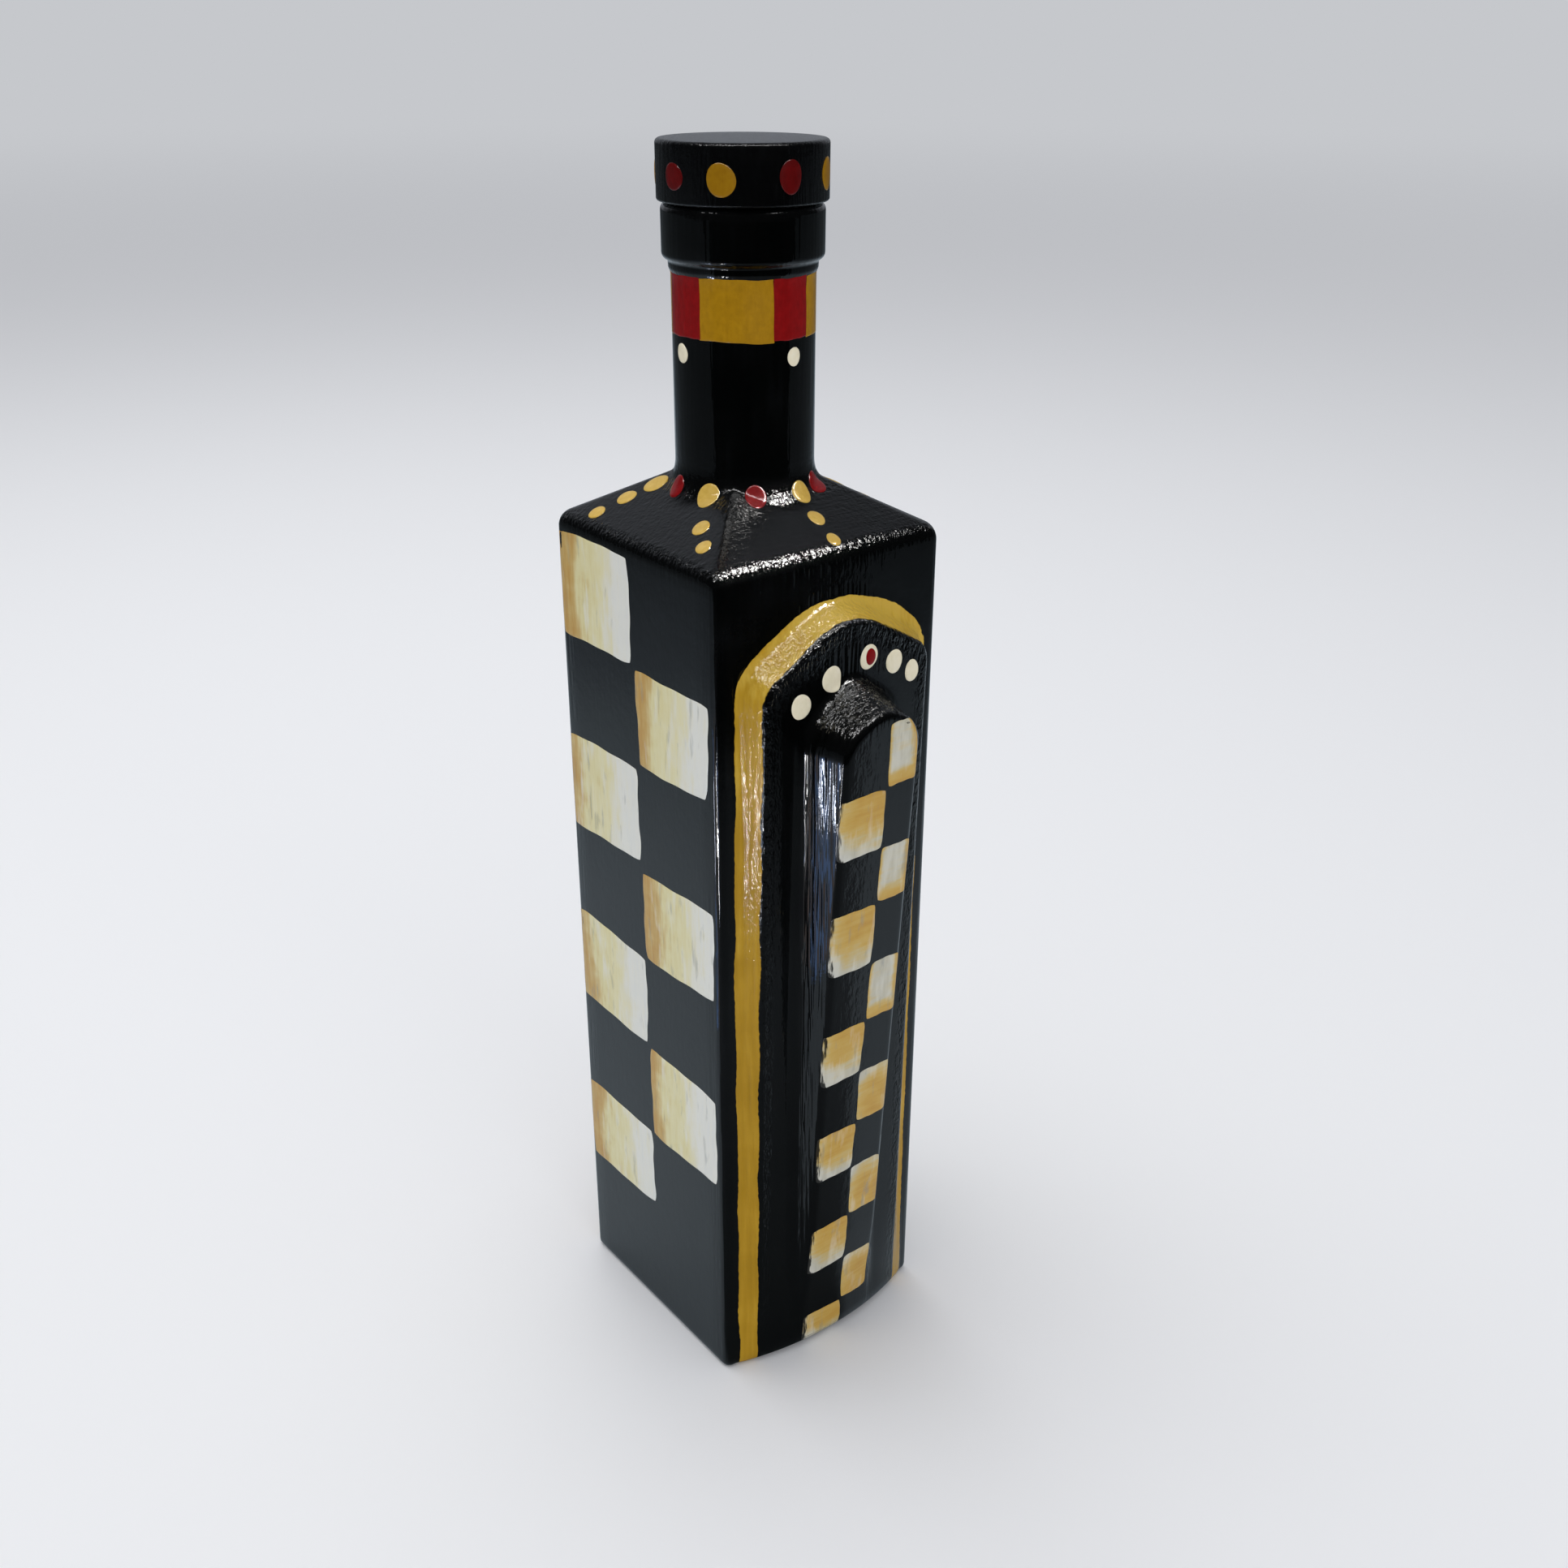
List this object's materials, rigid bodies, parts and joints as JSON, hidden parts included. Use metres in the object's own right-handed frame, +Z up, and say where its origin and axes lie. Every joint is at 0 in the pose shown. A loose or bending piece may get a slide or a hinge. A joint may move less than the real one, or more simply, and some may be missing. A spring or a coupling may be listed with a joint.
{
  "type": "stoppered bottle vase",
  "caption": "Tall square bottle vase with a pitched shoulder, a round neck, a tapering rib on a raised panel on two faces, and a disc-topped stopper that lifts out.",
  "frame": {"origin": "middle of the base, on the axis of the neck, at the height of the surface that the bottle stands on", "axes": "+Z up along the neck; -Y out of the front relief face and +Y out of the back one; -X and +X out of the two plain faces"},
  "size_m": [0.0666, 0.1056, 0.3118],
  "materials": {
    "painted_glass": "gloss black paint under varnish, opaque, with ochre, cream, white and red painted shapes",
    "painted_wood": "satin black paint on turned wood, with red and ochre dots",
    "cork": "matt"
  },
  "bodies": {
    "bottle": {"bottle": "painted_glass"},
    "stopper": {"stopper_cap": "painted_wood", "stopper_shank": "cork"}
  },
  "joints": [
    {"name": "stopper_lift", "type": "slide", "parent": "bottle", "child": "stopper", "axis": [0, 0, 1], "range_m": [0, 0.06]}
  ]
}
